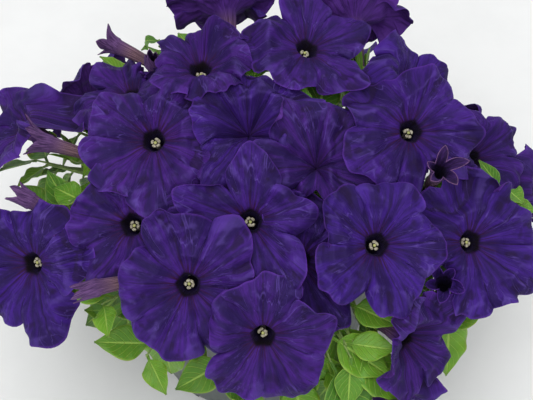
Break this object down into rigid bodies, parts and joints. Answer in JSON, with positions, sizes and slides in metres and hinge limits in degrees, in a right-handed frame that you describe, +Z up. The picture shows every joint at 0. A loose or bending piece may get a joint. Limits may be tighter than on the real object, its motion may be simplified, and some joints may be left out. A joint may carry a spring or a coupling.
{
  "type": "potted petunia",
  "caption": "Potted petunia: a round plastic pot of soil with leafy stems under a dome of violet funnel-shaped blooms and slim buds.",
  "frame": {"origin": "centre of the pot's foot, on the surface that the pot stands on", "axes": "+Z up the pot, -Y to the front that the picture shows, +X to the right, along the plant's greatest width"},
  "size_m": [0.3082, 0.2552, 0.2093],
  "materials": {
    "pot": "satin",
    "soil": "matte",
    "petal": "matte",
    "stamen": "matte",
    "bud": "matte",
    "leaf": "satin"
  },
  "bodies": {
    "root": {"pot": "pot", "soil": "soil", "bloom_01": "petal", "bloom_02": "petal", "bloom_03": "petal", "bloom_04": "petal", "bloom_05": "petal", "bloom_06": "petal", "bloom_07": "petal", "bloom_08": "petal", "bloom_09": "petal", "bloom_10": "petal", "bloom_11": "petal", "bloom_12": "petal", "bloom_13": "petal", "bloom_14": "petal", "bloom_15": "petal", "bloom_16": "petal", "bloom_17": "petal", "bloom_18": "petal", "bloom_19": "petal", "bloom_20": "petal", "bloom_21": "petal", "bloom_22": "petal", "bloom_23": "petal", "bloom_24": "petal", "bloom_25": "petal", "bloom_26": "petal", "stamens_01": "stamen", "stamens_02": "stamen", "stamens_03": "stamen", "stamens_04": "stamen", "stamens_05": "stamen", "stamens_06": "stamen", "stamens_07": "stamen", "stamens_08": "stamen", "stamens_09": "stamen", "stamens_10": "stamen", "stamens_11": "stamen", "stamens_13": "stamen", "stamens_15": "stamen", "stamens_16": "stamen", "stamens_17": "stamen", "stamens_20": "stamen", "stamens_23": "stamen", "stamens_25": "stamen", "stamens_26": "stamen", "bud_1": "bud", "bud_2": "bud", "bud_3": "bud", "bud_4": "bud", "bud_5": "bud", "bud_6": "bud", "bud_7": "bud", "leafy_stem_1": "leaf", "leafy_stem_2": "leaf", "leafy_stem_3": "leaf", "leafy_stem_4": "leaf", "leafy_stem_5": "leaf", "leafy_stem_6": "leaf"}
  },
  "joints": []
}
